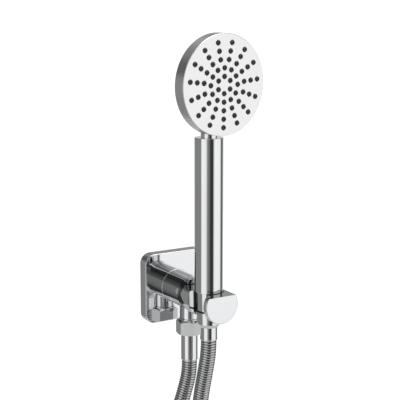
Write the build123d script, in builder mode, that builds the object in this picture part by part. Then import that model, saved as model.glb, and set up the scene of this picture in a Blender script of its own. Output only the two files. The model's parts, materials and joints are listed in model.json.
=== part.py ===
"""A hand shower in its wall outlet: square wall plate, horizontal outlet arm with an open-sided
holder, stick handset with a round head, and the metal hose that joins them.

Millimetres. The origin is the middle of the back of the wall plate, +Z is up, +Y goes into the wall.
"""
from build123d import *
import os
from math import cos, pi, radians, sin

os.makedirs("parts", exist_ok=True)

# Wall plate
plate_side = 72.0
plate_depth = 11.5
plate_corner = 10.5
plate_wall = 3.0
plate_edge = 0.9
gasket_lip = 1.0
gasket_depth = 1.0
gasket_width = 5.0

# Outlet arm
tail_radius = 15.0
arm_root_radius = 17.3
holder_wall = 3.3
arm_edge = 1.0
arm_reach = 62.5
nose_wall = 9.7
flare_start = 30.0
flare_end = 44.0
flat_height = 9.0
flat_margin = 8.0
inlet_radius = 9.3
inlet_depth = 12.0
chamber_radius = 8.6
chamber_depth = 17.5
channel_radius = 6.0

# Spigot under the arm, in front of the plate
spigot_from_plate = 25.5
boss_radius = 9.6
boss_drop = 27.5
boss_edge = 0.8
nipple_thread_radius = 7.5
nipple_thread_length = 10.5
nipple_reach = 11.0
water_way = 5.5

# Threads and seals
half_inch_radius = 10.4
thread_gap = 0.05
washer_depth = 1.5
washer_inner = 6.0
flange_radius = 10.0
flange_depth = 1.5

# Hexagon nut on the wall end of the hose
hex_flats = 24.0
hex_length = 15.8
hex_chamfer = 3.2
nut_gap = 0.3
lip_gap = 0.2

# Hose and its ferrules
hose_radius = 8.0
hose_length = 1450.0
ferrule_wall = 0.6
ferrule_length = 27.3
barb_stem_radius = 7.2
barb_radius = 5.8
barb_bore = 4.3

# Handset in the holder
swivel_angle = 6.0
holder_radius = 14.9
window_wall = 4.6
window_back = 9.3
window_floor = 9.0
liner_wall = 1.5
liner_lip_cover = 0.45
liner_lip_depth = 2.0
liner_gap = 0.05
cone_narrowing = 1.2
cone_drop = 26.3
cone_chamfer_height = 3.5
cone_foot_wall = 0.8
cone_ring_drop = 10.0
cone_ring_thickness = 1.6
cone_ring_proud = 0.45
cone_ring_gap = 0.3
cone_stem_gap = 0.1
ferrule_gap = 0.1
handset_ferrule_drop = 39.8

# Handle
tube_radius = 14.0
tube_wall = 1.4
tube_foot = 9.3
tube_top = 160.0
plug_gap = 0.1
plug_length = 15.0
inlet_nose_drop = 2.0
water_tube_radius = 8.2
water_tube_wall = 1.2
socket_depth = 7.0
socket_gap = 0.05
limiter_depth = 4.0

# Neck and head
neck_radius = 8.0
neck_bend = 9.0
neck_rise = 24.0
head_clearance = 3.0
face_forward = 22.9
face_tilt = 1.5
head_radius = 47.5
head_depth = 12.5
head_wall = 1.6
head_front_edge = 0.6
head_gap = 0.05
mat_depth = 1.8
diffuser_depth = 2.0
back_depth = 2.8
neck_nut_radius = 11.5
neck_nut_depth = 2.4
nozzle_counts = [6, 12, 15, 15, 15]
nozzle_radius = 2.6
nozzle_gap = 0.05
nozzle_stand = 1.2
nozzle_taper = 28.0
jet_radius = 0.6
screw_circle = 30.0
screw_radius = 1.2
screw_head_radius = 2.4
screw_head_depth = 1.2
screw_boss_radius = 3.0

# Non-return valve inside the arm
valve_start = 13.0
valve_length = 16.0
valve_radius = 8.5
valve_bore = 6.6
valve_seat_radius = 4.0
valve_end_depth = 2.0
poppet_radius = 5.4
poppet_depth = 2.0
poppet_stem = 1.2
poppet_stem_length = 13.0
poppet_gap = 0.05
stem_gap = 0.08
spring_radius = 3.3
spring_wire = 0.35
spring_turns = 5
ring_section = 0.65

# Hank that the spare hose is folded into
hank_middle = -20.0
hank_bend = 48.0
hank_top = -246.0
hank_back_layer = -40.0
hank_layer_gap = 0.5
tie_height = 12.0
tie_wall = 1.0
tie_drop = 60.0

# Sizes that follow from the holder, the handle tube and the hose
cone_ring_radius = holder_radius - liner_gap - liner_wall - cone_ring_gap
cone_top_radius = cone_ring_radius - cone_ring_proud
cone_low_radius = cone_top_radius - cone_narrowing
liner_lip_radius = cone_top_radius - liner_lip_cover
arm_radius = holder_radius + holder_wall
arm_nose = holder_radius + nose_wall
window_front = holder_radius + window_wall
flat_behind_axis = tube_radius + flat_margin
ferrule_radius = hose_radius + ferrule_wall
cone_chamfer_radius = ferrule_radius + ferrule_gap + cone_foot_wall
hank_layer_step = 2 * hose_radius + hank_layer_gap

# Places worked out from the sizes above
plate_front = -plate_depth
handset_y = -(plate_depth + arm_reach)
arm_front = handset_y - arm_nose
spigot_y = -(plate_depth + spigot_from_plate)
nipple_foot = -(boss_drop + nipple_reach)
hex_top = -(boss_drop + nut_gap)
hex_foot = hex_top - hex_length
wall_ferrule_top = hex_foot - lip_gap
wall_ferrule_foot = wall_ferrule_top - ferrule_length
handset_ferrule_top = -handset_ferrule_drop + ferrule_length
front_layer = hank_back_layer - hank_layer_step
hank_left = hank_middle - hank_bend
hank_right = hank_middle + hank_bend
bend_length = pi * hank_bend
crossing_length = (bend_length**2 + hank_layer_step**2) ** 0.5

face_height = tube_top + head_clearance + head_radius

spigot_axis = Plane(origin=(0, spigot_y, 0), z_dir=(0, 0, 1))
right = Vector(cos(radians(swivel_angle)), sin(radians(swivel_angle)), 0)
outward = Vector(sin(radians(swivel_angle)), -cos(radians(swivel_angle)), 0)
handset_axis = Plane(origin=(0, handset_y, 0), x_dir=right, z_dir=(0, 0, 1))
face_normal = outward * cos(radians(face_tilt)) - Vector(0, 0, sin(radians(face_tilt)))
face_middle = Vector(0, handset_y, face_height) + outward * face_forward
face = Plane(origin=face_middle, x_dir=right, z_dir=face_normal)


def save(builder, label):
    """Labels a finished piece and writes its STEP file."""
    builder.part.label = label
    export_step(builder.part, f"parts/{label}.step")


def along_y(y):
    """A sketch plane across the arm at y, facing out of the wall."""
    return Plane(origin=(0, y, 0), x_dir=(1, 0, 0), z_dir=(0, -1, 0))


def half_profile(axis, points):
    """A closed outline of radius and height pairs, drawn beside an upright axis."""
    beside = Plane(origin=axis.origin, x_dir=axis.x_dir, z_dir=-axis.y_dir)
    with BuildSketch(beside) as sketch:
        with BuildLine():
            Polyline(*points, close=True)
        make_face()
    return sketch.sketch


def nozzle_places():
    """Where the nozzles are, ring by ring, each ring with one nozzle straight down."""
    places = []
    for ring, count in enumerate(nozzle_counts, start=1):
        ring_radius = head_radius * ring / (len(nozzle_counts) + 1)
        for step in range(count):
            angle = 2 * pi * step / count - pi / 2
            places.append((ring_radius * cos(angle), ring_radius * sin(angle)))
    return places


# Wall plate: a shallow box, open behind, with a collar round the arm
with BuildPart() as wall_plate:
    with BuildSketch(along_y(0)):
        RectangleRounded(plate_side, plate_side, plate_corner)
    extrude(amount=plate_depth)
    fillet(wall_plate.faces().sort_by(Axis.Y)[0].edges(), plate_edge)
    inner_side = plate_side - 2 * plate_wall
    with BuildSketch(along_y(0)):
        RectangleRounded(inner_side, inner_side, plate_corner - plate_wall)
        Circle(tail_radius + plate_wall, mode=Mode.SUBTRACT)
    extrude(amount=plate_depth - plate_wall, mode=Mode.SUBTRACT)
    seat_side = plate_side - 2 * gasket_lip
    with BuildSketch(along_y(0)):
        RectangleRounded(seat_side, seat_side, plate_corner - gasket_lip)
    extrude(amount=gasket_depth, mode=Mode.SUBTRACT)
    with BuildSketch(along_y(0)):
        Circle(tail_radius + thread_gap)
    extrude(amount=plate_depth, mode=Mode.SUBTRACT)
    screw_y = -plate_depth / 2
    with BuildSketch(Plane(origin=(0, screw_y, -plate_side / 2), z_dir=(0, 0, 1))):
        Circle(2.0)
    extrude(amount=plate_side / 2 - tail_radius, mode=Mode.SUBTRACT)
save(wall_plate, "wall_plate")

with BuildPart() as plate_gasket:
    gasket_side = seat_side - 2 * lip_gap
    with BuildSketch(along_y(0)):
        RectangleRounded(gasket_side, gasket_side, plate_corner - gasket_lip - lip_gap)
        hole_side = gasket_side - 2 * gasket_width
        RectangleRounded(hole_side, hole_side, plate_corner - gasket_width, mode=Mode.SUBTRACT)
    extrude(amount=gasket_depth)
save(plate_gasket, "plate_gasket")

with BuildPart() as plate_grub_screw:
    with BuildSketch(Plane(origin=(0, screw_y, -tail_radius), z_dir=(0, 0, -1))):
        Circle(1.9)
    extrude(amount=8.0)
    with BuildSketch(Plane(origin=(0, screw_y, -tail_radius - 8.0), z_dir=(0, 0, 1))):
        RegularPolygon(1.0, 6)
    extrude(amount=2.5, mode=Mode.SUBTRACT)
save(plate_grub_screw, "plate_grub_screw")

# Outlet arm: a turned bar that flares a little towards the holder
with BuildPart() as outlet_arm:
    lengthwise = Plane(origin=(0, 0, 0), x_dir=(1, 0, 0), z_dir=(0, 0, 1))
    with BuildSketch(lengthwise):
        with BuildLine():
            side = Polyline(
                (0, arm_front),
                (0, 0),
                (tail_radius, 0),
                (tail_radius, plate_front),
                (arm_root_radius, plate_front),
                (arm_root_radius, plate_front - flare_start),
            )
            bell = Spline(
                side @ 1,
                (arm_radius, plate_front - flare_end),
                tangents=[(0, -1), (0, -1)],
            )
            nose = Line(bell @ 1, (arm_radius, arm_front))
            Line(nose @ 1, (0, arm_front))
        make_face()
    revolve(axis=Axis.Y)
    fillet(outlet_arm.faces().sort_by(Axis.Y)[0].edges(), arm_edge)
    with BuildSketch(spigot_axis.offset(-boss_drop)):
        Circle(boss_radius)
    extrude(amount=boss_drop - arm_root_radius / 2)
    fillet(outlet_arm.faces().sort_by(Axis.Z)[0].edges(), boss_edge)
    # The flat that the handle stands on
    with BuildSketch(Plane.XY.offset(flat_height)):
        flat_end = handset_y + flat_behind_axis
        with Locations((0, (flat_end + arm_front - arm_edge) / 2)):
            Rectangle(3 * arm_radius, flat_end - arm_front + arm_edge)
    extrude(amount=arm_radius, mode=Mode.SUBTRACT)
    # The holder, and the window that opens it to the left
    with BuildSketch(Plane.XY.offset(-arm_radius)):
        with Locations((0, handset_y)):
            Circle(holder_radius)
        with Locations((-(window_floor + arm_radius), handset_y + (window_back - window_front) / 2)):
            Rectangle(2 * arm_radius, window_back + window_front)
        with Locations((-arm_radius, handset_y)):
            Rectangle(2 * arm_radius, 2 * window_back)
    extrude(amount=2 * arm_radius, mode=Mode.SUBTRACT)
    # Inlet thread, valve chamber and waterway
    with BuildSketch(along_y(0)):
        Circle(inlet_radius)
    extrude(amount=inlet_depth, mode=Mode.SUBTRACT)
    with BuildSketch(along_y(-inlet_depth)):
        Circle(chamber_radius)
    extrude(amount=chamber_depth, mode=Mode.SUBTRACT)
    with BuildSketch(along_y(-inlet_depth - chamber_depth)):
        Circle(channel_radius)
    extrude(amount=-spigot_y + channel_radius - inlet_depth - chamber_depth, mode=Mode.SUBTRACT)
    with BuildSketch(spigot_axis.offset(-boss_drop)):
        Circle(nipple_thread_radius + thread_gap)
    extrude(amount=nipple_thread_length + nut_gap, mode=Mode.SUBTRACT)
    with BuildSketch(spigot_axis.offset(-boss_drop)):
        Circle(water_way)
    extrude(amount=boss_drop, mode=Mode.SUBTRACT)
save(outlet_arm, "outlet_arm")

with BuildPart() as inlet_filter:
    with BuildSketch(along_y(-inlet_depth)):
        Circle(chamber_radius - thread_gap)
        with HexLocations(0.85, 7, 7):
            Circle(0.5, mode=Mode.SUBTRACT)
    extrude(amount=valve_start - inlet_depth)
save(inlet_filter, "inlet_filter")

# Non-return valve cartridge
valve_end = -(valve_start + valve_length)
groove_y = -(valve_start + 4.0)
with BuildPart() as check_valve_body:
    with BuildSketch(along_y(-valve_start)):
        Circle(valve_radius)
    extrude(amount=valve_length)
    with BuildSketch(along_y(-valve_start)):
        Circle(valve_seat_radius)
    extrude(amount=valve_end_depth, mode=Mode.SUBTRACT)
    with BuildSketch(along_y(-valve_start - valve_end_depth)):
        Circle(valve_bore)
    extrude(amount=valve_length - 2 * valve_end_depth, mode=Mode.SUBTRACT)
    with BuildSketch(along_y(valve_end + valve_end_depth)):
        Circle(poppet_stem + stem_gap)
        with PolarLocations(4.3, 4):
            Circle(1.6)
    extrude(amount=valve_end_depth, mode=Mode.SUBTRACT)
    with BuildSketch(along_y(groove_y + ring_section)):
        Circle(valve_radius + 1)
        Circle(chamber_radius - 2 * ring_section, mode=Mode.SUBTRACT)
    extrude(amount=2 * ring_section, mode=Mode.SUBTRACT)
save(check_valve_body, "check_valve_body")

with BuildPart() as check_valve_o_ring:
    with BuildSketch(Plane.XY):
        with Locations((chamber_radius - ring_section, groove_y)):
            Circle(ring_section)
    revolve(axis=Axis.Y)
save(check_valve_o_ring, "check_valve_o_ring")

poppet_top = -(valve_start + valve_end_depth + poppet_gap)
with BuildPart() as check_valve_poppet:
    with BuildSketch(along_y(poppet_top)):
        Circle(poppet_radius)
    extrude(amount=poppet_depth)
    with BuildSketch(along_y(poppet_top - poppet_depth)):
        Circle(poppet_stem)
    extrude(amount=poppet_stem_length)
save(check_valve_poppet, "check_valve_poppet")

spring_space = -(poppet_top - poppet_depth) + valve_end + valve_end_depth
spring_free = -spring_space - 2 * (spring_wire + poppet_gap)
with BuildPart() as check_valve_spring:
    spring_start = (0, poppet_top - poppet_depth - poppet_gap - spring_wire, 0)
    spring_pitch = spring_free / spring_turns
    with BuildLine() as coils:
        Helix(spring_pitch, spring_free, spring_radius, center=spring_start, direction=(0, -1, 0))
    with BuildSketch(Plane(origin=coils.line @ 0, z_dir=coils.line % 0)):
        Circle(spring_wire)
    sweep(path=coils.line)
save(check_valve_spring, "check_valve_spring")

# Threaded nipple in the boss, with its seal
seal_z = -boss_drop + nipple_thread_length - 2.0
with BuildPart() as hose_nipple:
    inner_seal = nipple_thread_radius + thread_gap - 2 * ring_section
    add(
        half_profile(
            spigot_axis,
            [
                (water_way, nipple_foot),
                (half_inch_radius - 0.8, nipple_foot),
                (half_inch_radius, nipple_foot + 0.8),
                (half_inch_radius, -boss_drop),
                (nipple_thread_radius, -boss_drop),
                (nipple_thread_radius, seal_z - ring_section),
                (inner_seal, seal_z - ring_section),
                (inner_seal, seal_z + ring_section),
                (nipple_thread_radius, seal_z + ring_section),
                (nipple_thread_radius, -boss_drop + nipple_thread_length),
                (water_way, -boss_drop + nipple_thread_length),
            ],
        )
    )
    revolve(axis=Axis((0, spigot_y, 0), (0, 0, 1)))
save(hose_nipple, "hose_nipple")

with BuildPart() as nipple_o_ring:
    with BuildSketch(Plane(origin=(0, spigot_y, 0), x_dir=(1, 0, 0), z_dir=(0, -1, 0))):
        with Locations((nipple_thread_radius + thread_gap - ring_section, seal_z)):
            Circle(ring_section)
    revolve(axis=Axis((0, spigot_y, 0), (0, 0, 1)))
save(nipple_o_ring, "nipple_o_ring")

# Hexagon nut
flange_top = nipple_foot - washer_depth
flange_foot = flange_top - flange_depth
hex_corner = hex_flats / 2 / cos(radians(30))
with BuildPart() as hex_nut:
    with BuildSketch(spigot_axis.offset(hex_foot)):
        RegularPolygon(hex_corner, 6, rotation=20)
    extrude(amount=hex_length)
    add(
        half_profile(
            spigot_axis,
            [
                (0, hex_foot),
                (hex_flats / 2, hex_foot),
                (hex_corner + 0.1, hex_foot + 0.9),
                (hex_corner + 0.1, hex_top - hex_chamfer),
                (boss_radius + 0.1, hex_top),
                (0, hex_top),
            ],
        )
    )
    revolve(axis=Axis((0, spigot_y, 0), (0, 0, 1)), mode=Mode.INTERSECT)
    with BuildSketch(spigot_axis.offset(flange_foot)):
        Circle(half_inch_radius + thread_gap)
    extrude(amount=hex_top - flange_foot, mode=Mode.SUBTRACT)
    with BuildSketch(spigot_axis.offset(hex_foot)):
        Circle(barb_stem_radius + cone_stem_gap)
    extrude(amount=hex_length, mode=Mode.SUBTRACT)
save(hex_nut, "hex_nut")


def flat_washer(axis, foot):
    """A rubber washer between a nipple and the flange of a hose tail."""
    with BuildPart() as washer:
        with BuildSketch(axis.offset(foot)):
            Circle(flange_radius)
            Circle(washer_inner, mode=Mode.SUBTRACT)
        extrude(amount=washer_depth)
    return washer


def hose_tail(axis, flange_low, sleeve_top, sleeve_foot):
    """The flanged metal tail that a hose end is pressed on to, inside its ferrule."""
    with BuildPart() as tail:
        add(
            half_profile(
                axis,
                [
                    (barb_bore, sleeve_foot + 2.0),
                    (barb_radius - 0.4, sleeve_foot + 2.0),
                    (barb_radius, sleeve_foot + 4.0),
                    (barb_radius, sleeve_top),
                    (barb_stem_radius, sleeve_top),
                    (barb_stem_radius, flange_low),
                    (flange_radius, flange_low),
                    (flange_radius, flange_low + flange_depth),
                    (barb_bore, flange_low + flange_depth),
                ],
            )
        )
        revolve(axis=Axis(axis.origin, (0, 0, 1)))
    return tail


def ferrule(axis, foot):
    """The smooth sleeve that holds the hose on its tail."""
    with BuildPart() as sleeve:
        with BuildSketch(axis.offset(foot)):
            Circle(ferrule_radius)
        extrude(amount=ferrule_length)
        fillet(sleeve.edges().filter_by(GeomType.CIRCLE), 0.5)
        with BuildSketch(axis.offset(foot + 1.5)):
            Circle(barb_radius + thread_gap)
        extrude(amount=ferrule_length, mode=Mode.SUBTRACT)
    return sleeve


wall_washer = flat_washer(spigot_axis, flange_top)
save(wall_washer, "wall_hose_washer")
wall_tail = hose_tail(spigot_axis, flange_foot, wall_ferrule_top, wall_ferrule_foot)
save(wall_tail, "wall_hose_tail")
wall_ferrule = ferrule(spigot_axis, wall_ferrule_foot)
save(wall_ferrule, "wall_ferrule")

# Holder liner: a sleeve open on the window side, with the lip that the rubber ring sits on
ring_foot = -cone_ring_drop - cone_ring_thickness / 2
with BuildPart() as holder_liner:
    liner_foot = ring_foot - nut_gap - liner_lip_depth
    liner_outer = holder_radius - liner_gap
    with BuildSketch(handset_axis.offset(liner_foot)):
        Circle(liner_outer)
    extrude(amount=flat_height - liner_foot)
    with BuildSketch(handset_axis.offset(liner_foot)):
        Circle(liner_lip_radius)
    extrude(amount=flat_height - liner_foot, mode=Mode.SUBTRACT)
    with BuildSketch(handset_axis.offset(liner_foot + liner_lip_depth)):
        Circle(liner_outer - liner_wall)
    extrude(amount=flat_height - liner_foot, mode=Mode.SUBTRACT)
    with BuildSketch(Plane.XY.offset(liner_foot)):
        with Locations((-(window_floor + arm_radius), handset_y + (window_back - window_front) / 2)):
            Rectangle(2 * arm_radius, window_back + window_front)
        with Locations((-arm_radius, handset_y)):
            Rectangle(2 * arm_radius, 2 * window_back)
    extrude(amount=2 * arm_radius, mode=Mode.SUBTRACT)
save(holder_liner, "holder_liner")

# Conical nut of the handset, with its rubber ring
nose_foot = -inlet_nose_drop
cone_flange_top = nose_foot - washer_depth
cone_flange_foot = cone_flange_top - flange_depth


def cone_radius(z):
    """Outer radius of the conical nut at height z."""
    share = (flat_height - z) / (flat_height + cone_drop - cone_chamfer_height)
    return cone_top_radius + (cone_low_radius - cone_top_radius) * share


ring_inner = cone_radius(-cone_ring_drop) - 1.0
ring_top = ring_foot + cone_ring_thickness
with BuildPart() as cone_nut:
    add(
        half_profile(
            handset_axis,
            [
                (ferrule_radius + ferrule_gap, -cone_drop),
                (cone_chamfer_radius, -cone_drop),
                (cone_low_radius, -cone_drop + cone_chamfer_height),
                (cone_radius(ring_foot), ring_foot),
                (ring_inner, ring_foot),
                (ring_inner, ring_top),
                (cone_radius(ring_top), ring_top),
                (cone_top_radius, flat_height),
                (half_inch_radius + thread_gap, flat_height),
                (half_inch_radius + thread_gap, cone_flange_foot),
                (barb_stem_radius + cone_stem_gap, cone_flange_foot),
                (barb_stem_radius + cone_stem_gap, handset_ferrule_top + lip_gap),
                (ferrule_radius + ferrule_gap, handset_ferrule_top + lip_gap),
            ],
        )
    )
    revolve(axis=Axis(handset_axis.origin, (0, 0, 1)))
save(cone_nut, "cone_nut")

with BuildPart() as cone_nut_ring:
    with BuildSketch(handset_axis.offset(ring_foot)):
        Circle(cone_ring_radius)
        Circle(ring_inner, mode=Mode.SUBTRACT)
    extrude(amount=cone_ring_thickness)
    fillet(cone_nut_ring.edges().sort_by(SortBy.LENGTH)[-2:], 0.5)
save(cone_nut_ring, "cone_nut_ring")

handset_washer = flat_washer(handset_axis, cone_flange_top)
save(handset_washer, "handset_hose_washer")
handset_tail = hose_tail(
    handset_axis, cone_flange_foot, handset_ferrule_top, -handset_ferrule_drop
)
save(handset_tail, "handset_hose_tail")
handset_ferrule = ferrule(handset_axis, -handset_ferrule_drop)
save(handset_ferrule, "handset_ferrule")

# Handle: inlet plug, flow limiter, inner water tube, outer tube
plug_radius = tube_radius - tube_wall - plug_gap
plug_top = tube_foot + plug_length
socket_foot = plug_top - socket_depth
seat_z = socket_foot + 2.5
socket_radius = water_tube_radius + socket_gap
with BuildPart() as handle_inlet:
    add(
        half_profile(
            handset_axis,
            [
                (water_way, nose_foot),
                (half_inch_radius - 0.8, nose_foot),
                (half_inch_radius, nose_foot + 0.8),
                (half_inch_radius, tube_foot),
                (plug_radius, tube_foot),
                (plug_radius, plug_top),
                (socket_radius, plug_top),
                (socket_radius, seat_z + ring_section),
                (socket_radius + ring_section, seat_z + ring_section),
                (socket_radius + ring_section, seat_z - ring_section),
                (socket_radius, seat_z - ring_section),
                (socket_radius, socket_foot),
                (water_tube_radius - water_tube_wall, socket_foot),
                (water_tube_radius - water_tube_wall, socket_foot - limiter_depth),
                (water_way, socket_foot - limiter_depth),
            ],
        )
    )
    revolve(axis=Axis(handset_axis.origin, (0, 0, 1)))
save(handle_inlet, "handle_inlet")

with BuildPart() as flow_limiter:
    with BuildSketch(handset_axis.offset(socket_foot - limiter_depth)):
        Circle(water_tube_radius - water_tube_wall - thread_gap)
        Circle(1.5, mode=Mode.SUBTRACT)
        with PolarLocations(4.0, 6):
            Circle(0.9, mode=Mode.SUBTRACT)
    extrude(amount=limiter_depth - lip_gap)
save(flow_limiter, "flow_limiter")

neck_plug_foot = tube_top - plug_length
neck_socket_top = neck_plug_foot + socket_depth
with BuildPart() as water_tube:
    with BuildSketch(handset_axis.offset(socket_foot)):
        Circle(water_tube_radius)
        Circle(water_tube_radius - water_tube_wall, mode=Mode.SUBTRACT)
    extrude(amount=neck_socket_top - socket_foot)
save(water_tube, "water_tube")

neck_seat_z = neck_socket_top - 2.5
with BuildPart() as water_tube_o_rings:
    for height in (seat_z, neck_seat_z):
        with BuildSketch(Plane(origin=handset_axis.origin, x_dir=right, z_dir=outward)):
            with Locations((socket_radius, height)):
                Rectangle(2 * ring_section, 1.9 * ring_section)
            with Locations((socket_radius - ring_section, height)):
                Rectangle(2 * ring_section, 3 * ring_section, mode=Mode.SUBTRACT)
        revolve(axis=Axis(handset_axis.origin, (0, 0, 1)))
save(water_tube_o_rings, "water_tube_o_rings")

with BuildPart() as handle_tube:
    with BuildSketch(handset_axis.offset(tube_foot)):
        Circle(tube_radius)
    extrude(amount=tube_top - tube_foot)
    fillet(handle_tube.edges().filter_by(GeomType.CIRCLE), 0.5)
    with BuildSketch(handset_axis.offset(tube_foot)):
        Circle(tube_radius - tube_wall)
    extrude(amount=tube_top - tube_foot, mode=Mode.SUBTRACT)
save(handle_tube, "handle_tube")

# Neck: a plug in the top of the handle, bent forward into the back of the head
bend_point = Vector(0, handset_y, tube_top + neck_rise)
to_back = (face_middle - face_normal * (head_depth - back_depth) - bend_point).dot(face_normal)
neck_end = bend_point + face_normal * (to_back + neck_nut_depth)
with BuildPart() as neck_elbow:
    add(
        half_profile(
            handset_axis,
            [
                (water_way, tube_top),
                (plug_radius, tube_top),
                (plug_radius, neck_plug_foot),
                (socket_radius, neck_plug_foot),
                (socket_radius, neck_seat_z - ring_section),
                (socket_radius + ring_section, neck_seat_z - ring_section),
                (socket_radius + ring_section, neck_seat_z + ring_section),
                (socket_radius, neck_seat_z + ring_section),
                (socket_radius, neck_socket_top),
                (water_way, neck_socket_top),
            ],
        )
    )
    revolve(axis=Axis(handset_axis.origin, (0, 0, 1)))
    with BuildLine() as bend:
        FilletPolyline(Vector(0, handset_y, tube_top), bend_point, neck_end, radius=neck_bend)
    with BuildSketch(handset_axis.offset(tube_top)):
        Circle(neck_radius)
        Circle(water_way, mode=Mode.SUBTRACT)
    sweep(path=bend.line)
save(neck_elbow, "neck_elbow")

# Head: front cup, rubber mat with the nozzles, diffuser, back plate and its fittings
inner_head_radius = head_radius - head_wall
hole_radius = nozzle_radius + nozzle_gap
with BuildPart() as head_cup:
    with BuildSketch(face):
        Circle(head_radius)
    extrude(amount=-head_depth)
    fillet(head_cup.faces().sort_by(Axis(face.origin, face.z_dir))[-1].edges(), head_front_edge)
    with BuildSketch(face.offset(-head_wall)):
        Circle(inner_head_radius)
    extrude(amount=-head_depth, mode=Mode.SUBTRACT)
    with BuildSketch(face):
        with Locations(*nozzle_places()):
            Circle(hole_radius)
    extrude(amount=-2 * head_wall, mode=Mode.SUBTRACT)
save(head_cup, "head_cup")

mat_back = -(head_wall + mat_depth)
with BuildPart() as nozzle_mat:
    with BuildSketch(face.offset(-head_wall)):
        Circle(inner_head_radius - lip_gap)
    extrude(amount=-mat_depth)
    with BuildSketch(face.offset(-head_wall)):
        with Locations(*nozzle_places()):
            Circle(nozzle_radius)
    extrude(amount=head_wall)
    with BuildSketch(face):
        with Locations(*nozzle_places()):
            Circle(nozzle_radius)
    extrude(amount=nozzle_stand, taper=nozzle_taper)
    with BuildSketch(face.offset(nozzle_stand)):
        with Locations(*nozzle_places()):
            Circle(jet_radius)
    extrude(amount=-(nozzle_stand + head_wall + mat_depth), mode=Mode.SUBTRACT)
save(nozzle_mat, "nozzle_mat")

diffuser_back = mat_back - diffuser_depth
with BuildPart() as diffuser:
    with BuildSketch(face.offset(mat_back)):
        Circle(inner_head_radius - lip_gap)
        with Locations(*nozzle_places()):
            Circle(2 * jet_radius, mode=Mode.SUBTRACT)
        with PolarLocations(screw_circle, 3, start_angle=90):
            Circle(screw_radius + thread_gap, mode=Mode.SUBTRACT)
    extrude(amount=-diffuser_depth)
    with BuildSketch(face.offset(mat_back)):
        with PolarLocations(screw_circle, 3, start_angle=90):
            Circle(screw_head_radius + thread_gap)
    extrude(amount=-screw_head_depth - thread_gap, mode=Mode.SUBTRACT)
save(diffuser, "diffuser")

back_inside = -(head_depth - back_depth)
back_radius = inner_head_radius - head_gap
seal_groove = back_inside - back_depth / 2
with BuildPart() as head_back:
    with BuildSketch(face.offset(-head_depth)):
        Circle(back_radius)
    extrude(amount=back_depth)
    with BuildSketch(face.offset(back_inside)):
        with PolarLocations(screw_circle, 3, start_angle=90):
            Circle(screw_boss_radius)
    extrude(amount=diffuser_back - back_inside)
    with BuildSketch(face.offset(diffuser_back)):
        with PolarLocations(screw_circle, 3, start_angle=90):
            Circle(screw_radius + thread_gap)
    extrude(amount=back_inside - diffuser_back - 1.0, mode=Mode.SUBTRACT)
    with BuildSketch(face.offset(seal_groove - ring_section)):
        Circle(head_radius)
        Circle(inner_head_radius - 2 * ring_section, mode=Mode.SUBTRACT)
    extrude(amount=2 * ring_section, mode=Mode.SUBTRACT)
    neck_spot = face.to_local_coords(neck_end)
    with BuildSketch(face.offset(-head_depth)):
        with Locations((neck_spot.X, neck_spot.Y)):
            Circle(neck_radius + thread_gap)
    extrude(amount=head_depth, mode=Mode.SUBTRACT)
save(head_back, "head_back")

with BuildPart() as head_seal:
    with BuildSketch(Plane(origin=face.origin, x_dir=face.x_dir, z_dir=-face.y_dir)):
        with Locations((inner_head_radius - ring_section, seal_groove)):
            Circle(ring_section)
    revolve(axis=Axis(face.origin, face.z_dir))
save(head_seal, "head_seal")

with BuildPart() as neck_nut:
    with BuildSketch(face.offset(back_inside)):
        with Locations((neck_spot.X, neck_spot.Y)):
            RegularPolygon(neck_nut_radius, 6)
            Circle(neck_radius + thread_gap, mode=Mode.SUBTRACT)
    extrude(amount=neck_nut_depth)
save(neck_nut, "neck_nut")

with BuildPart() as diffuser_screws:
    with BuildSketch(face.offset(mat_back - thread_gap)):
        with PolarLocations(screw_circle, 3, start_angle=90):
            Circle(screw_head_radius)
    extrude(amount=-screw_head_depth)
    with BuildSketch(face.offset(mat_back - thread_gap)):
        with PolarLocations(screw_circle, 3, start_angle=90):
            Circle(screw_radius)
    extrude(amount=back_inside - mat_back + 1.2)
save(diffuser_screws, "diffuser_screws")

# Hose: the two legs that hang, and the hank that the rest is folded into
wall_route = [
    (0, spigot_y, wall_ferrule_foot),
    (0, spigot_y, -84),
    (-3.4, -35.3, -101),
    (-9.2, -33.8, -121),
    (-18.6, -33.2, -140),
    (-31.4, -33.8, -158),
    (-45, -35.3, -177),
    (-57, -37.2, -195),
    (-65, -39.2, -213),
    (hank_left, hank_back_layer, -231),
    (hank_left, hank_back_layer, hank_top),
]
handset_route = [
    (0, handset_y, -handset_ferrule_drop),
    (0, handset_y, -52),
    (-1.7, -71.2, -72),
    (-4, -66.6, -98),
    (-4.4, -62.5, -124),
    (-1, -60.2, -149),
    (5.8, -59.2, -171),
    (14.5, -58.6, -192),
    (23.6, -57.8, -210),
    (hank_right, front_layer, -229),
    (hank_right, front_layer, hank_top),
]


def leg(route, label):
    """A hose leg along its route, each corner rounded as far as its two runs allow."""
    points = [Vector(*point) for point in route]
    runs = [b - a for a, b in zip(points, points[1:])]
    radii = []
    for before, after in zip(runs, runs[1:]):
        half_turn = radians(before.get_angle(after)) / 2
        shorter = min(before.length, after.length)
        radii.append(0.45 * shorter * cos(half_turn) / sin(half_turn))
    with BuildPart() as tube:
        with BuildLine() as path:
            FilletPolyline(*points, radius=radii)
        with BuildSketch(Plane(origin=points[0], z_dir=runs[0])):
            Circle(hose_radius)
        sweep(path=path.line)
    length = sum(edge.length for edge in path.line.edges())
    expected = pi * hose_radius**2 * length
    print(label, "radii", [round(r) for r in radii], "length", round(length, 1))
    print(label, "volume", round(tube.part.volume), "expected", round(expected))
    return tube, length


wall_leg, wall_leg_length = leg(wall_route, "wall_side_hose")
save(wall_leg, "wall_side_hose")
handset_leg, handset_leg_length = leg(handset_route, "handset_side_hose")
save(handset_leg, "handset_side_hose")

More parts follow.
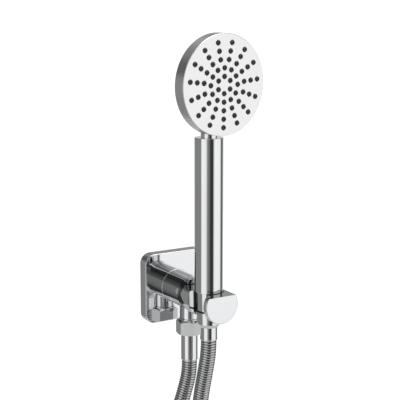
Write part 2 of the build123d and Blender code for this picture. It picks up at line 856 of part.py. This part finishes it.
folded = hose_length - wall_leg_length - handset_leg_length
hank_run = (folded - 2 * bend_length - crossing_length) / 4
hank_foot = hank_top - hank_run
print("hank run", round(hank_run, 2), "foot", round(hank_foot, 2))

middle_layer = (hank_back_layer + front_layer) / 2
with BuildPart() as hose_hank:
    with BuildLine(Plane(origin=(0, middle_layer, 0), x_dir=(1, 0, 0), z_dir=(0, -1, 0))) as fold:
        down = Line((hank_left, hank_top), (hank_left, hank_foot))
        turn = CenterArc((hank_middle, hank_foot), hank_bend, 180, 180)
        Line(turn @ 1, (hank_right, hank_top))
    with BuildSketch(Plane(origin=(hank_left, middle_layer, hank_top), z_dir=(0, 0, -1))):
        SlotCenterToCenter(hank_layer_step, 2 * hose_radius, rotation=90)
    sweep(path=fold.line)
    crossing = [
        (hank_right, hank_back_layer, hank_top),
        (hank_right, hank_back_layer, hank_top + hank_bend),
        (hank_left, front_layer, hank_top + hank_bend),
        (hank_left, front_layer, hank_top),
    ]
    with BuildLine() as over:
        FilletPolyline(*crossing, radius=0.98 * hank_bend)
    with BuildSketch(Plane(origin=crossing[0], z_dir=(0, 0, 1))):
        Circle(hose_radius)
    sweep(path=over.line)
save(hose_hank, "hose_hank")

with BuildPart() as hose_ties:
    for side_x in (hank_left, hank_right):
        with BuildSketch(Plane(origin=(side_x, middle_layer, hank_top - tie_drop), z_dir=(0, 0, 1))):
            SlotCenterToCenter(hank_layer_step, 2 * (hose_radius + tie_wall), rotation=90)
            SlotCenterToCenter(
                hank_layer_step, 2 * (hose_radius + thread_gap), rotation=90, mode=Mode.SUBTRACT
            )
        extrude(amount=-tie_height)
save(hose_ties, "hose_ties")
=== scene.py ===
import json
import math

import bmesh
import bpy
import numpy as np
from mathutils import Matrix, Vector


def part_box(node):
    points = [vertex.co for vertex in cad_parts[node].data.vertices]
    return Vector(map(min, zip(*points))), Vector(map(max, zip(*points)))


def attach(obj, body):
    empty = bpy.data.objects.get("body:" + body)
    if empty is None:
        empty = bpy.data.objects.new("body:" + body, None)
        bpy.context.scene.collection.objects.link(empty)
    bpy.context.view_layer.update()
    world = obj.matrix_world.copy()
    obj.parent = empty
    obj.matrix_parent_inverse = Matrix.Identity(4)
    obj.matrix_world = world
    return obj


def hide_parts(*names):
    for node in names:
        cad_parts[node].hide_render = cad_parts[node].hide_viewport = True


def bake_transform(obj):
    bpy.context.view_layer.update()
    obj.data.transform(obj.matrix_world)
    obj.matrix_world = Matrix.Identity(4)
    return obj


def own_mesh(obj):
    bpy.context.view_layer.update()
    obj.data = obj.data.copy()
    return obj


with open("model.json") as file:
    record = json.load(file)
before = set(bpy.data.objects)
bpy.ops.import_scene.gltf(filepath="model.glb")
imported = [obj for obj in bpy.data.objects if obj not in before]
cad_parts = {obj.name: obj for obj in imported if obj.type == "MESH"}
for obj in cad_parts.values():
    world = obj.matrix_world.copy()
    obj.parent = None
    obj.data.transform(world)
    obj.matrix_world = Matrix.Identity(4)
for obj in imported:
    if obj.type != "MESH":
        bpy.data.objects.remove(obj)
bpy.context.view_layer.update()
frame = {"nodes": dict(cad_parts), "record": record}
nodes = frame["nodes"]
print("frame loaded,", len(nodes), "nodes")


def deselectAll():
    if bpy.context.object and bpy.context.object.mode != "OBJECT":
        bpy.ops.object.mode_set(mode="OBJECT")
    bpy.ops.object.select_all(action="DESELECT")


deselectAll()

# Camera: a long lens, a little above the holder and to its left
cameraView = {
    "place": (-0.4999, -0.8744, 0.2739),
    "pitch": 79.524,
    "yaw": -31.466,
    "lens": 90.0,
    "sensor": 36.0,
}
bpy.ops.object.camera_add(location=cameraView["place"])
camera = bpy.context.object
camera.name = "studioCamera"
camera.rotation_euler = (math.radians(cameraView["pitch"]), 0, math.radians(cameraView["yaw"]))
camera.data.lens = cameraView["lens"]
camera.data.sensor_width = cameraView["sensor"]
camera.data.clip_end = 100
bpy.context.scene.camera = camera
bpy.context.scene.view_settings.view_transform = "Standard"


# A socket that can be added, subtracted and multiplied as a number
class Wire:
    def __init__(self, maker, socket):
        self.maker = maker
        self.socket = socket

    def maths(self, operation, first, second):
        made = self.maker.node("ShaderNodeMath", {"operation": operation}, {0: first, 1: second})
        return self.maker.wire(made, 0)

    def __add__(self, other):
        return self.maths("ADD", self, other)

    def __radd__(self, other):
        return self.maths("ADD", other, self)

    def __sub__(self, other):
        return self.maths("SUBTRACT", self, other)

    def __rsub__(self, other):
        return self.maths("SUBTRACT", other, self)

    def __mul__(self, other):
        return self.maths("MULTIPLY", self, other)

    def __rmul__(self, other):
        return self.maths("MULTIPLY", other, self)


class Finish:
    def __init__(self, tree):
        self.tree = tree
        tree.nodes.clear()

    def node(self, kind, settings=None, inputs=None):
        made = self.tree.nodes.new(kind)
        for key, value in (settings or {}).items():
            if key == "stops":
                ramp = made.color_ramp
                while len(ramp.elements) < len(value):
                    ramp.elements.new(0.5)
                for stop, (place, tone) in zip(ramp.elements, value):
                    stop.position = place
                    stop.color = (tone, tone, tone, 1)
            else:
                setattr(made, key, value)
        for key, value in (inputs or {}).items():
            if isinstance(value, Wire):
                self.tree.links.new(value.socket, made.inputs[key])
            else:
                made.inputs[key].default_value = value
        return made

    def wire(self, made, output):
        return Wire(self, made.outputs[output])


def makeFinish(name, look):
    # Uneven polish, a fine grain and a faint change of tone, all read from the piece's own place
    material = bpy.data.materials.new(name)
    material.use_nodes = True
    finish = Finish(material.node_tree)
    if name == "hoseMetal":
        crest = finish.wire(finish.node("ShaderNodeAttribute", {"attribute_name": "crest"}), "Fac")
    place = finish.wire(finish.node("ShaderNodeTexCoord"), "Object")
    cloud = finish.wire(finish.node("ShaderNodeTexNoise", None,
        {"Vector": place, "Scale": look["cloud"], "Detail": 3.0}), 0)
    grain = finish.wire(finish.node("ShaderNodeTexNoise", None,
        {"Vector": place, "Scale": look["grain"], "Detail": 2.0}), 0)
    tone = finish.node("ShaderNodeMix", {"data_type": "RGBA"}, {0: cloud})
    tone.inputs[6].default_value = (*look["dark"], 1)
    tone.inputs[7].default_value = (*look["light"], 1)
    colour = finish.wire(tone, 2)
    if name == "hoseMetal":
        # Painted shade: the seams between the ribs are painted near-black where shade falls in the grooves
        seamShade = finish.node("ShaderNodeMix", {"data_type": "RGBA"}, {0: crest, 7: colour})
        seamShade.inputs[6].default_value = (*look["seamShade"], 1)
        colour = finish.wire(seamShade, 2)
    rough = look["rough"] + (cloud - 0.5) * look["uneven"] + (grain - 0.5) * look["uneven"] * 0.5
    bump = finish.node("ShaderNodeBump", None,
        {"Strength": look["bump"], "Distance": look["depth"], "Height": grain})
    shader = finish.node("ShaderNodeBsdfPrincipled", None, {
        "Base Color": colour, "Metallic": look["metal"], "Roughness": rough,
        "Normal": finish.wire(bump, 0)})
    finish.node("ShaderNodeOutputMaterial", None, {"Surface": finish.wire(shader, 0)})
    return material


looks = {
    "polishedChrome": {"dark": (0.80, 0.81, 0.82), "light": (0.86, 0.865, 0.87), "metal": 1.0,
        "rough": 0.05, "uneven": 0.02, "cloud": 30, "grain": 900, "bump": 0.01, "depth": 0.00002},
    "satinFace": {"dark": (0.84, 0.845, 0.85), "light": (0.90, 0.90, 0.905), "metal": 1.0,
        "rough": 0.24, "uneven": 0.06, "cloud": 45, "grain": 2600, "bump": 0.06, "depth": 0.00003},
    "hoseMetal": {"dark": (0.66, 0.67, 0.68), "light": (0.78, 0.785, 0.79), "metal": 1.0,
        "rough": 0.14, "uneven": 0.08, "cloud": 60, "grain": 1500, "bump": 0.03, "depth": 0.00003,
        # the seam tone is painted shade for the grooves between the ribs
        "seamShade": (0.03, 0.03, 0.032)},
    "turnedBrass": {"dark": (0.62, 0.47, 0.20), "light": (0.75, 0.60, 0.30), "metal": 1.0,
        "rough": 0.28, "uneven": 0.10, "cloud": 80, "grain": 1800, "bump": 0.08, "depth": 0.00005},
    "plainSteel": {"dark": (0.45, 0.46, 0.47), "light": (0.60, 0.61, 0.62), "metal": 1.0,
        "rough": 0.26, "uneven": 0.10, "cloud": 90, "grain": 2000, "bump": 0.06, "depth": 0.00004},
    "softRubber": {"dark": (0.012, 0.012, 0.013), "light": (0.030, 0.030, 0.032), "metal": 0.0,
        "rough": 0.36, "uneven": 0.12, "cloud": 120, "grain": 3200, "bump": 0.15, "depth": 0.00006},
    "blackPlastic": {"dark": (0.015, 0.015, 0.016), "light": (0.032, 0.032, 0.034), "metal": 0.0,
        "rough": 0.38, "uneven": 0.12, "cloud": 80, "grain": 2400, "bump": 0.10, "depth": 0.00005},
    "whitePlastic": {"dark": (0.74, 0.74, 0.72), "light": (0.83, 0.83, 0.81), "metal": 0.0,
        "rough": 0.34, "uneven": 0.10, "cloud": 70, "grain": 2200, "bump": 0.06, "depth": 0.00004},
}
finishes = {name: makeFinish(name, look) for name, look in looks.items()}
slotLooks = {"chrome": "polishedChrome", "satin_face": "satinFace", "steel": "plainSteel",
    "brass": "turnedBrass", "black_rubber": "softRubber", "black_plastic": "blackPlastic",
    "white_plastic": "whitePlastic", "hose": "hoseMetal"}
for part in frame["record"]["subparts"]:
    piece = nodes[part["node"]]
    for slot in piece.material_slots:
        slot.material = finishes[slotLooks[part["material_slot"]]]
print("finishes made")

# Hose: its route from the wall ferrule, twice round the hank, and back up to the handset
hose = {"radius": 0.0080, "pitch": 0.00255, "groove": 0.0010, "sides": 24, "length": 1.45,
    "left": -0.068, "right": 0.028, "bend": 0.048, "top": -0.246, "foot": -0.3939,
    "backLayer": -0.040, "frontLayer": -0.0565, "shoulder": 0.00012, "shoulderShare": 0.75,
    "turnSteps": 8, "runParts": 3, "sideHint": (0.3, 1, 0.1)}
wallLeg = [(0, -0.037, -0.0706), (0, -0.037, -0.084), (-0.0034, -0.0353, -0.101),
    (-0.0092, -0.0338, -0.121), (-0.0186, -0.0332, -0.140), (-0.0314, -0.0338, -0.158),
    (-0.045, -0.0353, -0.177), (-0.057, -0.0372, -0.195), (-0.065, -0.0392, -0.213),
    (-0.068, -0.040, -0.231), (-0.068, -0.040, -0.246)]
handsetLeg = [(0, -0.074, -0.0398), (0, -0.074, -0.052), (-0.0017, -0.0712, -0.072),
    (-0.004, -0.0666, -0.098), (-0.0044, -0.0625, -0.124), (-0.001, -0.0602, -0.149),
    (0.0058, -0.0592, -0.171), (0.0145, -0.0586, -0.192), (0.0236, -0.0578, -0.210),
    (0.028, -0.0565, -0.229), (0.028, -0.0565, -0.246)]


def hankTurns():
    # Down the left, round the foot, up the right, over the top into the front layer, and again
    middle = (hose["left"] + hose["right"]) / 2
    run = hose["top"] - hose["foot"]
    turnSteps = hose["turnSteps"]
    runParts = hose["runParts"]
    points = []
    for layer in ("backLayer", "frontLayer"):
        y = hose[layer]
        points += [(hose["left"], y, hose["top"] - run * step / runParts) for step in range(1, runParts)]
        for step in range(turnSteps + 1):
            angle = math.pi + math.pi * step / turnSteps
            points.append((middle + hose["bend"] * math.cos(angle), y,
                hose["foot"] + hose["bend"] * math.sin(angle)))
        points += [(hose["right"], y, hose["foot"] + run * step / runParts) for step in range(1, runParts)]
        if layer == "backLayer":
            for step in range(turnSteps + 1):
                angle = math.pi * step / turnSteps
                share = step / turnSteps
                y = hose["backLayer"] + (hose["frontLayer"] - hose["backLayer"]) * share
                points.append((middle + hose["bend"] * math.cos(angle), y,
                    hose["top"] + hose["bend"] * math.sin(angle)))
    return points


def centreLine(points):
    curve = bpy.data.curves.new("hoseRoute", "CURVE")
    curve.dimensions = "3D"
    curve.resolution_u = 12
    spline = curve.splines.new("NURBS")
    spline.points.add(len(points) - 1)
    for knot, point in zip(spline.points, points):
        knot.co = (*point, 1)
    spline.order_u = 3
    spline.use_endpoint_u = True
    route = bpy.data.objects.new("hoseRoute", curve)
    bpy.context.collection.objects.link(route)
    line = bpy.data.meshes.new_from_object(route)
    places = np.array([v.co[:] for v in line.vertices])
    bpy.data.objects.remove(route)
    return places


def evenly(places, gap):
    # The same line with its points set at even gaps, and its whole length
    steps = np.linalg.norm(np.diff(places, axis=0), axis=1)
    along = np.concatenate([[0], np.cumsum(steps)])
    count = int(round(along[-1] / gap))
    wanted = np.linspace(0, along[-1], count + 1)
    return np.stack([np.interp(wanted, along, places[:, k]) for k in range(3)], 1), along[-1]


def ribbedTube(name, points):
    # A tube whose radius steps in and out four times a rib, with crest as the mask for the painted shade in
    # its seams
    places = centreLine(points)
    perRib = 4
    rings, length = evenly(places, hose["pitch"] / perRib)
    ahead = np.gradient(rings, axis=0)
    ahead /= np.linalg.norm(ahead, axis=1)[:, None]
    side = np.cross(ahead[0], hose["sideHint"])
    depths = (hose["groove"], hose["shoulder"], 0, hose["shoulder"])
    crestShares = (0.0, hose["shoulderShare"], 1.0, hose["shoulderShare"])
    mesh = bmesh.new()
    before = None
    for index, (centre, way) in enumerate(zip(rings, ahead)):
        side = side - way * (side @ way)
        side /= np.linalg.norm(side)
        up = np.cross(way, side)
        radius = hose["radius"] - depths[index % perRib]
        ring = []
        for step in range(hose["sides"]):
            angle = 2 * math.pi * step / hose["sides"]
            ring.append(mesh.verts.new(centre + radius * (side * math.cos(angle) + up * math.sin(angle))))
        if before:
            for a in range(hose["sides"]):
                b = (a + 1) % hose["sides"]
                mesh.faces.new((before[a], before[b], ring[b], ring[a]))
        else:
            mesh.faces.new(ring[::-1])
        before = ring
    mesh.faces.new(before)
    for face in mesh.faces:
        face.smooth = True
    bmesh.ops.recalc_face_normals(mesh, faces=mesh.faces)
    made = bpy.data.meshes.new(name)
    mesh.to_mesh(made)
    mesh.free()
    crests = made.attributes.new("crest", "FLOAT", "POINT")
    for vertex in range(len(made.vertices)):
        crests.data[vertex].value = crestShares[vertex // hose["sides"] % perRib]
    made.materials.append(finishes["hoseMetal"])
    piece = bpy.data.objects.new(name, made)
    bpy.context.collection.objects.link(piece)
    return piece, [tuple(p) for p in places], length


route = wallLeg + hankTurns() + handsetLeg[::-1]
hosePiece, hosePath, hoseLength = ribbedTube("ribbedHose", route)
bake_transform(hosePiece)
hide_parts("wall_side_hose", "hose_hank", "handset_side_hose")
print("hose made,", round(hoseLength, 4), "m along its line")


def spunRing(name, centre, radius, thick, finishName, body):
    # A rolled bead: a torus added in place and smoothed
    deselectAll()
    bpy.ops.mesh.primitive_torus_add(location=centre, major_radius=radius, minor_radius=thick,
        major_segments=72, minor_segments=12)
    piece = bpy.context.object
    piece.name = name
    bpy.ops.object.transform_apply(location=True, rotation=True, scale=True)
    bpy.ops.object.shade_smooth()
    piece.data.materials.append(finishes[finishName])
    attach(piece, body)
    return piece


beads = {"thick": 0.0005, "radius": 0.0083, "lift": 0.0012}
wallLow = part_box("wall_ferrule")[0][2]
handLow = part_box("handset_ferrule")[0][2]
wallBead = spunRing("wallFerruleBead", (0, wallLeg[0][1], wallLow + beads["lift"]),
    beads["radius"], beads["thick"], "polishedChrome", "outlet")
handBead = spunRing("handsetFerruleBead", (0, handsetLeg[0][1], handLow + beads["lift"]),
    beads["radius"], beads["thick"], "polishedChrome", "hose_end")

# A fine round ring where the arm leaves the plate
seat = {"radius": 0.0173, "thick": 0.00022}
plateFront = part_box("wall_plate")[0][1]
deselectAll()
bpy.ops.mesh.primitive_torus_add(location=(0, plateFront, 0), rotation=(math.pi / 2, 0, 0),
    major_radius=seat["radius"], minor_radius=seat["thick"], major_segments=96, minor_segments=10)
seatRing = bpy.context.object
seatRing.name = "armSeatRing"
bpy.ops.object.transform_apply(location=True, rotation=True, scale=True)
bpy.ops.object.shade_smooth()
seatRing.data.materials.append(finishes["polishedChrome"])
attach(seatRing, "outlet")

# Buckles of the two ties, one on each side of the hank
buckle = {"size": (0.0050, 0.0030, 0.0070), "round": 0.0007, "sunk": 0.35, "smooth": 40}
for name, sideX in (("leftTieBuckle", hose["left"]), ("rightTieBuckle", hose["right"])):
    tieLow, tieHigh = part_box("hose_ties")
    deselectAll()
    bpy.ops.mesh.primitive_cube_add(size=1, location=(sideX, tieLow[1] - buckle["size"][1] * buckle["sunk"],
        (tieLow[2] + tieHigh[2]) / 2), scale=buckle["size"])
    piece = bpy.context.object
    piece.name = name
    bpy.ops.object.transform_apply(location=True, rotation=True, scale=True)
    bpy.ops.object.mode_set(mode="EDIT")
    bpy.ops.mesh.select_all(action="SELECT")
    bpy.ops.mesh.bevel(offset=buckle["round"], segments=3, affect="EDGES")
    bpy.ops.object.mode_set(mode="OBJECT")
    bpy.ops.object.shade_smooth_by_angle(angle=math.radians(buckle["smooth"]))
    piece.data.materials.append(finishes["blackPlastic"])
    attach(piece, "outlet")
print("beads and buckles made")

# Spring of the check valve: a copy of its part, with doubled points merged and shaded smooth
spring = {"seat": -0.0270, "keep": 0.74, "merge": 0.000001}
deselectAll()
springPiece = bpy.data.objects.new("valveSpring", nodes["check_valve_spring"].data.copy())
bpy.context.collection.objects.link(springPiece)
springPiece.select_set(True)
bpy.context.view_layer.objects.active = springPiece
bpy.ops.object.mode_set(mode="EDIT")
bpy.ops.mesh.select_all(action="SELECT")
bpy.ops.mesh.remove_doubles(threshold=spring["merge"])
bpy.ops.object.mode_set(mode="OBJECT")
bpy.ops.object.shade_smooth()
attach(springPiece, "outlet")
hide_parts("check_valve_spring")
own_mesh(springPiece)
print("spring made")

# Floor and studio light
floorLook = {"height": -0.50, "radius": 0.8, "tone": 0.80, "rough": 0.9}
deselectAll()
bpy.ops.mesh.primitive_circle_add(vertices=96, radius=floorLook["radius"], fill_type="NGON",
    location=(0, 0, floorLook["height"]))
floor = bpy.context.object
floor.name = "studioFloor"
floorMaterial = bpy.data.materials.new("paleFloor")
floorMaterial.use_nodes = True
floorShader = floorMaterial.node_tree.nodes["Principled BSDF"]
tone = floorLook["tone"]
floorShader.inputs["Base Color"].default_value = (tone, tone, tone, 1)
floorShader.inputs["Roughness"].default_value = floorLook["rough"]
floor.data.materials.append(floorMaterial)


def studioWorld():
    # Soft boxes and dark cards round the object, as tones by bearing; what is seen directly is white
    world = bpy.data.worlds.new("studio")
    bpy.context.scene.world = world
    world.use_nodes = True
    light = Finish(world.node_tree)
    way = light.wire(light.node("ShaderNodeTexCoord"), "Generated")
    parts = light.node("ShaderNodeSeparateXYZ", None, {0: way})
    across, depth = light.wire(parts, 0), light.wire(parts, 1)
    bearing = light.node("ShaderNodeMath", {"operation": "ARCTAN2"}, {0: across, 1: depth})
    share = light.wire(bearing, 0) * (0.5 / math.pi) + 0.5
    ring = light.node("ShaderNodeValToRGB", {"stops": studioStops}, {0: share})
    height = light.wire(parts, 2) * 0.5 + 0.5
    lift = light.node("ShaderNodeValToRGB", {"stops": heightStops}, {0: height})
    shaded = light.node("ShaderNodeMix", {"data_type": "RGBA", "blend_type": "MULTIPLY"},
        {0: 1.0, 6: light.wire(ring, 0), 7: light.wire(lift, 0)})
    seen = light.wire(light.node("ShaderNodeLightPath"), "Is Camera Ray")
    tone = light.node("ShaderNodeMix", {"data_type": "RGBA"}, {0: seen, 6: light.wire(shaded, 2)})
    tone.inputs[7].default_value = (1, 1, 1, 1)
    glow = light.node("ShaderNodeBackground", None,
        {"Color": light.wire(tone, 2), "Strength": studio["strength"]})
    light.node("ShaderNodeOutputWorld", None, {"Surface": light.wire(glow, 0)})


def bearingShare(degreesRight):
    # A bearing from the object, counted to the right of the main view, as a share of a full turn
    away = math.atan2(*studio["viewSide"]) - math.radians(degreesRight)
    return (away / (2 * math.pi) + 0.5) % 1.0


studio = {"strength": 1.12, "viewSide": (-0.522, -0.853)}
studioTones = [(-180, 0.55), (-137, 0.22), (-67, 0.22), (-58, 0.93), (-24, 0.84), (-12, 0.24),
    (4, 0.14), (12, 0.035), (32, 0.045), (42, 0.80), (54, 0.93), (97, 0.88), (110, 0.12),
    (136, 0.14), (146, 0.90), (179, 0.60)]
heightStops = [(0.0, 0.80), (0.42, 1.0), (0.56, 1.0), (0.62, 0.45), (0.72, 0.40), (0.80, 0.95),
    (1.0, 0.9)]
studioStops = sorted((bearingShare(angle), level) for angle, level in studioTones)
studioWorld()
softbox = {"place": (0.3, -0.5, 1.6), "size": 1.2, "energy": 14, "aim": (0, -0.05, 0.1)}
bpy.ops.object.light_add(type="AREA", location=softbox["place"])
overhead = bpy.context.object
overhead.name = "overheadSoftbox"
overhead.data.size = softbox["size"]
overhead.data.energy = softbox["energy"]
aim = Vector(softbox["aim"]) - overhead.location
overhead.rotation_euler = aim.to_track_quat("-Z", "Y").to_euler()
print("studio made")
